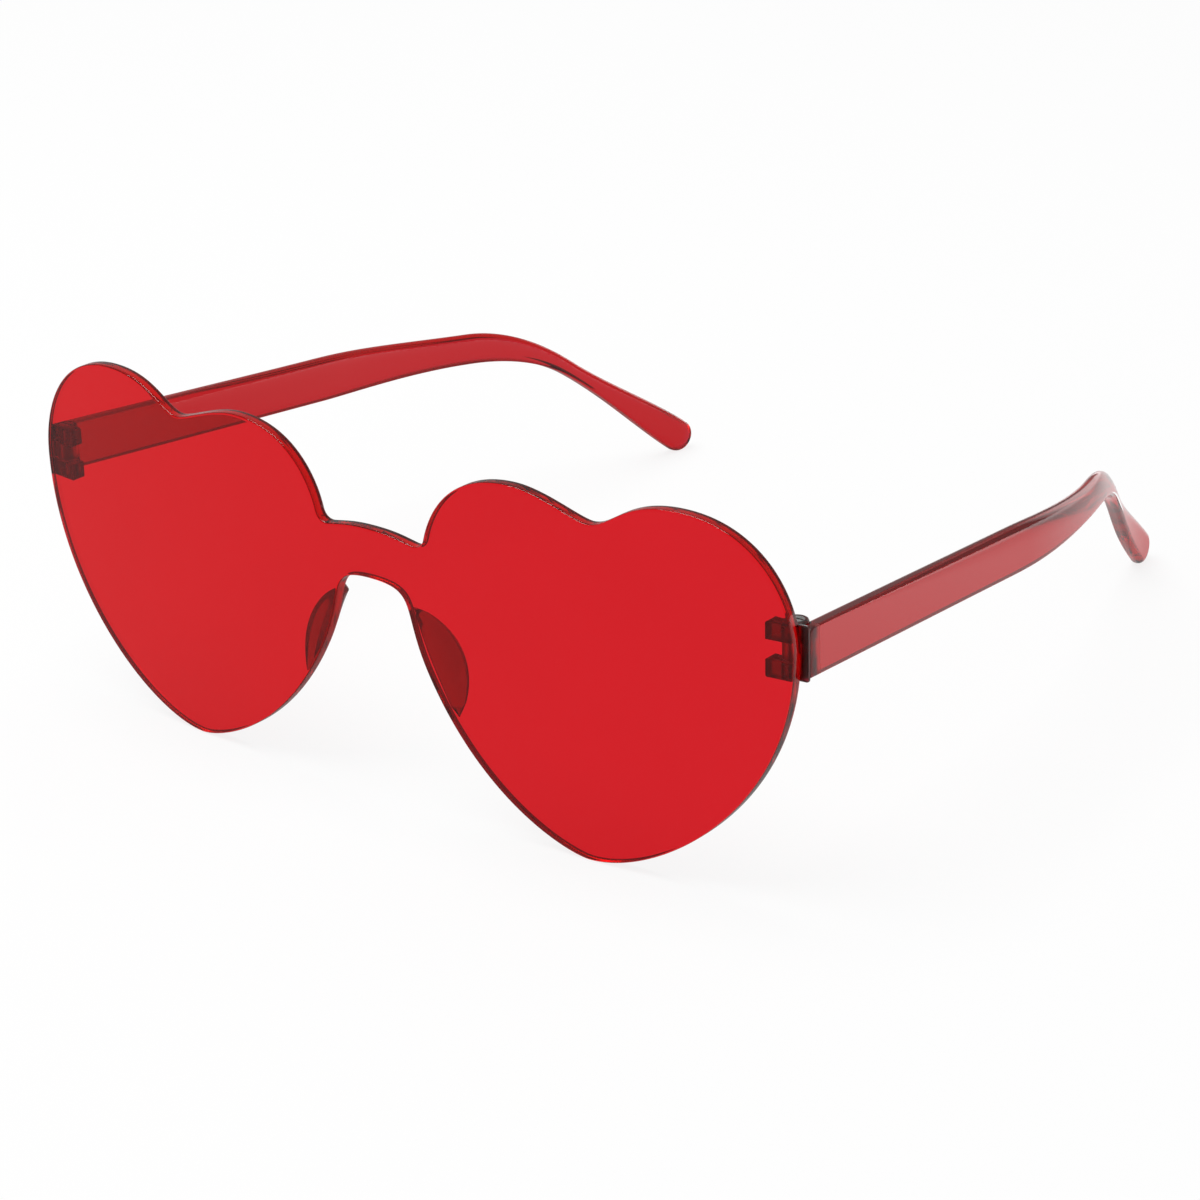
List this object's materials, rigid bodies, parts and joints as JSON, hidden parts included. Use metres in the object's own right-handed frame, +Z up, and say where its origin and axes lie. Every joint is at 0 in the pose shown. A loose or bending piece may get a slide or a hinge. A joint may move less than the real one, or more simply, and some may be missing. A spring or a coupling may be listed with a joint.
{
  "type": "heart shaped sunglasses",
  "caption": "Rimless sunglasses with a one-piece tinted shield of joined hearts, glued nose pads and slim temples that fold inwards on screwed hinges.",
  "frame": {"origin": "centre of the footprint on the table that the open glasses stand on, on heart tips and temple tips", "axes": "+Z up, the shield's front faces -Y, the temples run back along +Y, +X is the wearer's left"},
  "size_m": [0.148, 0.142, 0.0572],
  "materials": {
    "tinted_shield": "polished see-through red plastic sheet",
    "pad_plastic": "polished see-through red plastic",
    "hinge_plastic": "moulded see-through red plastic",
    "temple_plastic": "polished see-through red plastic",
    "screw_steel": "small plain steel screw"
  },
  "bodies": {
    "front": {"lens_shield": "tinted_shield", "nose_pad_left": "pad_plastic", "nose_pad_right": "pad_plastic", "hinge_block_left": "hinge_plastic", "hinge_block_right": "hinge_plastic", "hinge_screw_left": "screw_steel", "hinge_screw_right": "screw_steel"},
    "left_arm": {"temple_left": "temple_plastic"},
    "right_arm": {"temple_right": "temple_plastic"}
  },
  "joints": [
    {"name": "left_fold", "type": "hinge", "parent": "front", "child": "left_arm", "pos_m": [0.07095, -0.06192, 0.03893], "axis": [0, 0.0276, 0.9996], "range_deg": [0, 81]},
    {"name": "right_fold", "type": "hinge", "parent": "front", "child": "right_arm", "pos_m": [-0.07095, -0.06192, 0.03893], "axis": [0, -0.0276, -0.9996], "range_deg": [0, 76]}
  ]
}
